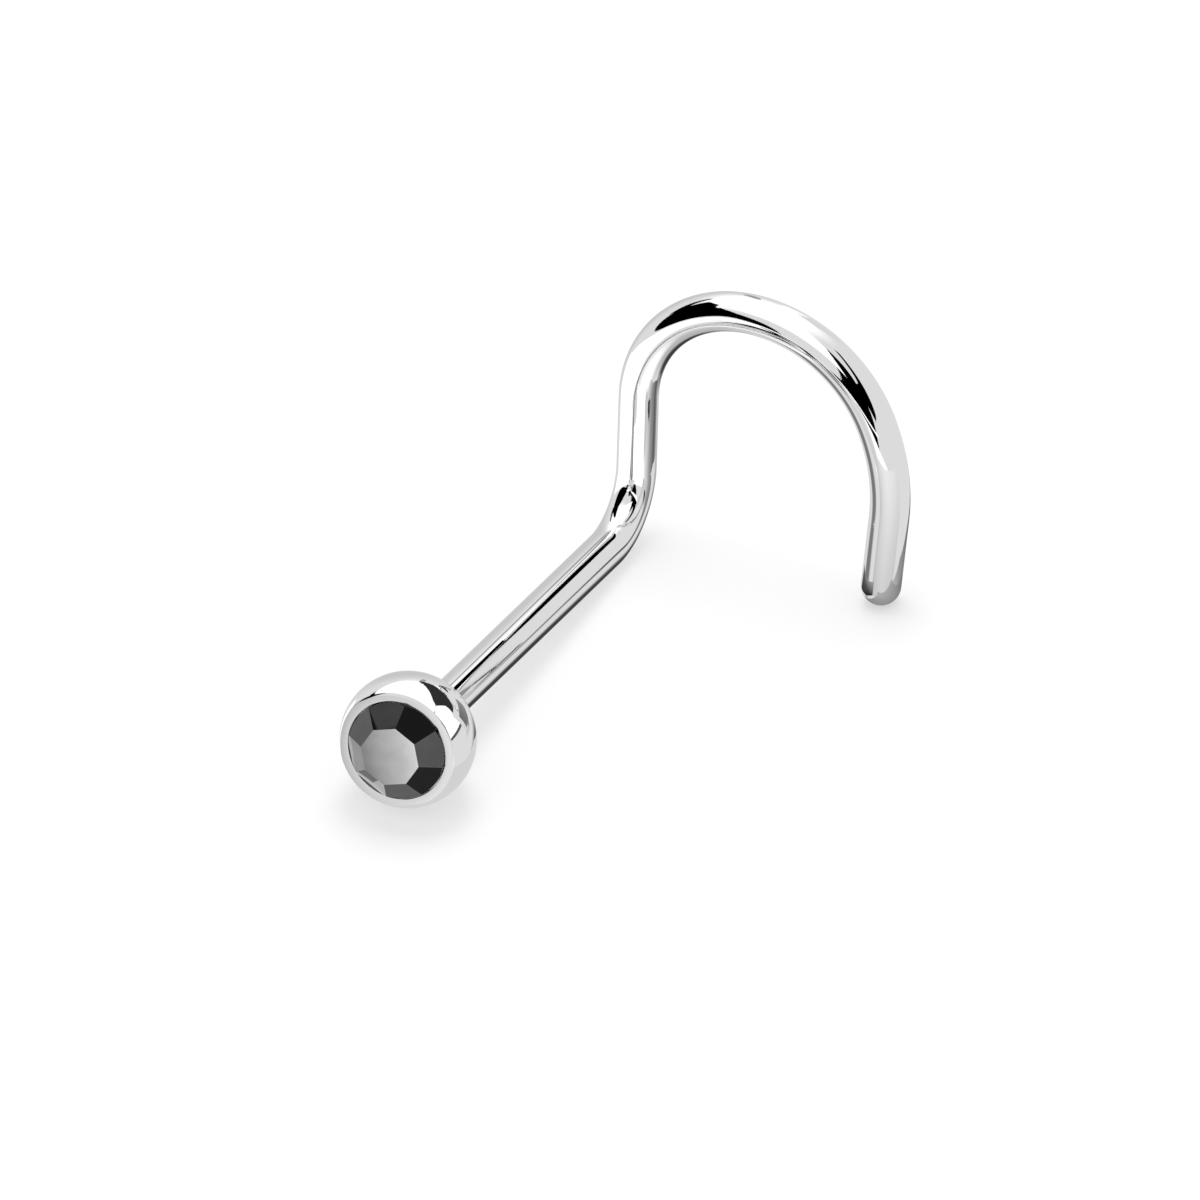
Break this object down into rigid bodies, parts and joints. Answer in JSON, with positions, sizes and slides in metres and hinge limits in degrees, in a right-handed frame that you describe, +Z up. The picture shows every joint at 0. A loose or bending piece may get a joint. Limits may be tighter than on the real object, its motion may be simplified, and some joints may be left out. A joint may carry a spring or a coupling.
{
  "type": "nose stud",
  "caption": "Nose stud in polished steel: a small dark faceted stone set in a ball, a straight bar, and an open hook with a rounded tip.",
  "frame": {"origin": "on the table under the middle of the stud's box, as the stud rests on its setting, its bend and the tip of its hook", "axes": "+Z up from the table; the stone faces -Y, tilted up; the bar runs back and to the right, 61 degrees from +X seen from above"},
  "size_m": [0.0114, 0.0102, 0.0061],
  "materials": {
    "polished_steel": "mirror-polished surgical steel",
    "dark_stone": "polished dark grey facets with a mirror-like surface lustre"
  },
  "bodies": {
    "root": {"stud_body": "polished_steel", "stone": "dark_stone"}
  },
  "joints": []
}
